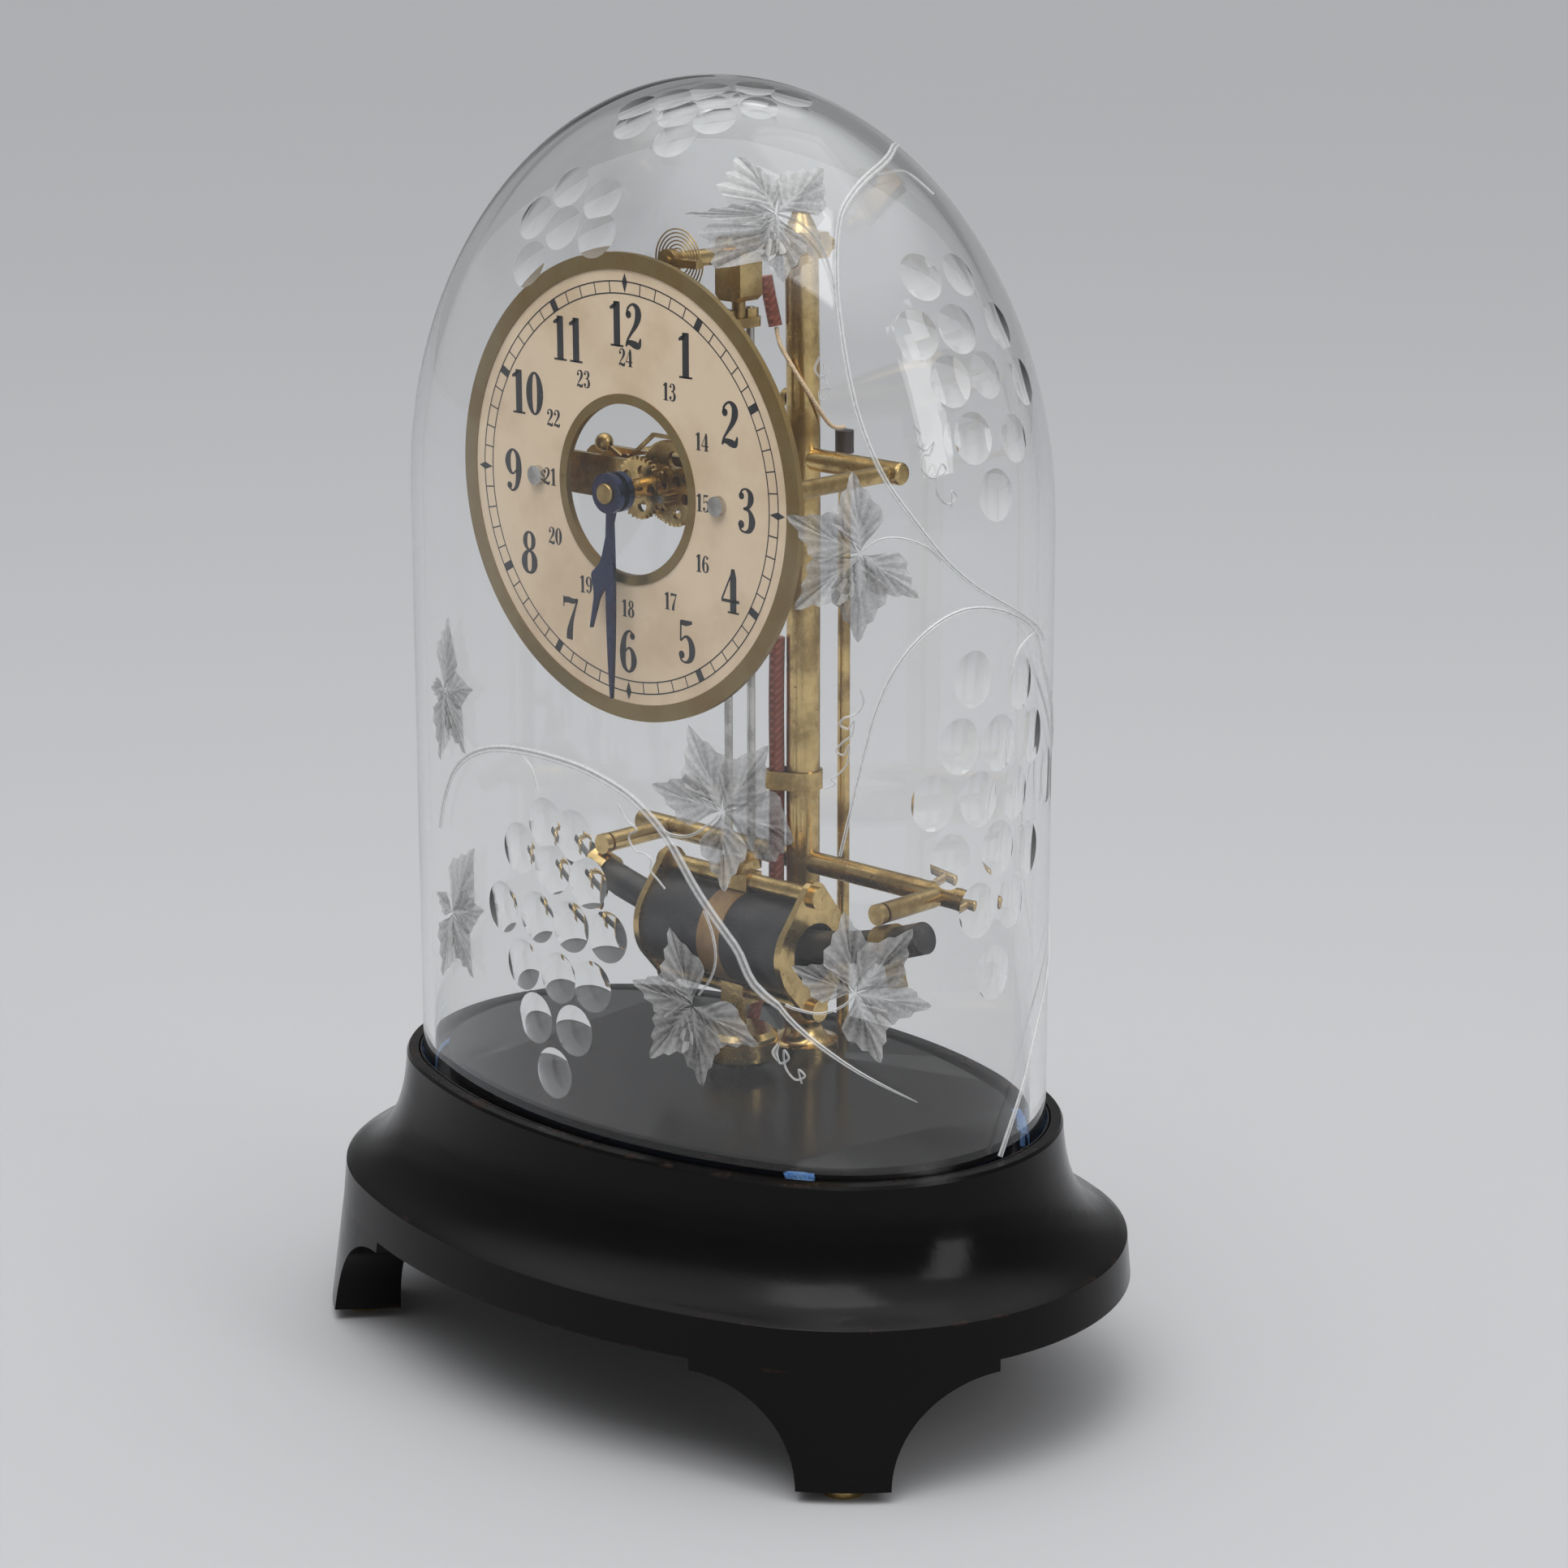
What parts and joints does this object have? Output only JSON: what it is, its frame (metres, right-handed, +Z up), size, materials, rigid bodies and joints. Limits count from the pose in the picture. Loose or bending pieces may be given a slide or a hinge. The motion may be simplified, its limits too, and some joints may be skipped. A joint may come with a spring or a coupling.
{
  "type": "battery pendulum clock",
  "caption": "Electromagnetic pendulum table clock: skeleton dial on a brass column, coil pendulum swinging over a curved magnet, oval ebonised base and cut-glass dome.",
  "frame": {"origin": "on the table under the middle of the oval base", "axes": "+Z up; the dial faces -Y; +X is the 3 o'clock side and the long way of the oval"},
  "size_m": [0.238, 0.168, 0.342],
  "materials": {
    "ebonised_wood": "worn semi-gloss black",
    "brass": "aged polish",
    "gilt_dial": "bronzed satin",
    "blued_steel": "heat blued",
    "steel": "polished",
    "magnet_black": "black enamel",
    "coil_cover": "varnished black covering",
    "coil_strip": "brown strip",
    "dial_paper": "aged cream",
    "clear_glass": "cut and polished",
    "seal_strip": "blue chenille",
    "sleeve_cloth": "braided maroon",
    "lead_cotton": "beige cotton",
    "terminal_dark": "dark",
    "cell_card": "plain card sleeve"
  },
  "bodies": {
    "clock_frame": {"base_plinth": "ebonised_wood", "base_cover": "ebonised_wood", "cover_screws": "steel", "battery_cell": "cell_card", "battery_contacts": "brass", "foot_front_left": "ebonised_wood", "foot_front_right": "ebonised_wood", "foot_rear": "ebonised_wood", "seal_ring": "seal_strip", "column": "brass", "column_screws": "brass", "column_foot": "brass", "column_nut": "steel", "cross_arms": "brass", "dial_pillars": "brass", "magnet_pillars": "brass", "magnet": "magnet_black", "magnet_clips": "brass", "clip_screws": "brass", "suspension_rod": "brass", "suspension_nut": "brass", "spring_stud": "brass", "hairspring": "brass", "dial_plate": "gilt_dial", "dial_paper": "dial_paper", "dial_screws": "steel", "back_plate": "brass", "front_plate": "brass", "movement_studs": "steel", "worm_cocks": "brass", "lead_tube": "brass", "terminal_cap": "terminal_dark", "lead_wires": "lead_cotton", "lead_sleeves": "sleeve_cloth", "sleeve_clip": "brass"},
    "dome_glass": {"dome": "clear_glass"},
    "pendulum": {"pendulum_hanger": "brass", "pendulum_crosspieces": "brass", "pendulum_rods": "steel", "rod_nuts": "brass", "coil_winding": "coil_cover", "coil_band": "coil_strip", "coil_end_plates": "brass", "coil_ties": "brass", "coil_screws": "brass", "rating_screw": "brass", "contact_pin": "brass"},
    "rating_weight": {"rating_nut": "brass"},
    "minute_train": {"cannon_pinion": "steel", "minute_hand": "blued_steel", "hand_boss": "brass"},
    "motion_wheel": {"minute_wheel": "brass"},
    "hour_train": {"hour_wheel": "brass", "hour_hand": "blued_steel"},
    "centre_arbor": {"centre_wheel": "brass"},
    "count_arbor": {"count_wheel": "brass"},
    "fork": {"fork_lever": "brass"},
    "pawl": {"holding_pawl": "brass"},
    "left_leveller": {"levelling_screw_left": "brass"},
    "right_leveller": {"levelling_screw_right": "brass"}
  },
  "joints": [
    {"name": "dome_lift", "type": "slide", "parent": "clock_frame", "child": "dome_glass", "axis": [0, 0, 1], "range_m": [0, 0.26]},
    {"name": "pendulum_swing", "type": "hinge", "parent": "clock_frame", "child": "pendulum", "pos_m": [0, 0.006, 0.296], "axis": [0, -1, 0], "range_deg": [-5, 5]},
    {"name": "rating_turn", "type": "hinge", "parent": "pendulum", "child": "rating_weight", "pos_m": [0, 0.006, 0.083], "axis": [0, 0, 1], "range_deg": [-180, 180]},
    {"name": "minute_turn", "type": "hinge", "parent": "clock_frame", "child": "minute_train", "pos_m": [0, -0.035, 0.2401], "axis": [0, -1, 0], "continuous": true},
    {"name": "motion_turn", "type": "hinge", "parent": "clock_frame", "child": "motion_wheel", "pos_m": [0.00945, -0.029, 0.23843], "axis": [0, -1, 0], "continuous": true},
    {"name": "hour_turn", "type": "hinge", "parent": "clock_frame", "child": "hour_train", "pos_m": [0, -0.034, 0.2401], "axis": [0, -1, 0], "continuous": true},
    {"name": "count_turn", "type": "hinge", "parent": "clock_frame", "child": "count_arbor", "pos_m": [0.01243, -0.019, 0.243], "axis": [0, 0, 1], "continuous": true},
    {"name": "centre_turn", "type": "hinge", "parent": "clock_frame", "child": "centre_arbor", "pos_m": [0, -0.019, 0.2401], "axis": [0, -1, 0], "continuous": true},
    {"name": "fork_rock", "type": "hinge", "parent": "clock_frame", "child": "fork", "pos_m": [0, -0.009, 0.2401], "axis": [0, -1, 0], "range_deg": [-20.5, 20.5]},
    {"name": "pawl_rock", "type": "hinge", "parent": "clock_frame", "child": "pawl", "pos_m": [-0.014, -0.021, 0.244], "axis": [0, -1, 0], "range_deg": [-2, 2]},
    {"name": "left_level", "type": "hinge", "parent": "clock_frame", "child": "left_leveller", "pos_m": [-0.09084, -0.05202, 0], "axis": [0, 0, 1], "range_deg": [-180, 180]},
    {"name": "right_level", "type": "hinge", "parent": "clock_frame", "child": "right_leveller", "pos_m": [0.09084, -0.05202, 0], "axis": [0, 0, 1], "range_deg": [-180, 180]}
  ],
  "couplings": [
    {"joint": "motion_turn", "follows": "minute_turn", "ratio": -0.33333},
    {"joint": "hour_turn", "follows": "minute_turn", "ratio": 0.083333},
    {"joint": "centre_turn", "follows": "count_turn", "ratio": -0.014286},
    {"joint": "fork_rock", "follows": "pendulum_swing", "ratio": -4}
  ]
}
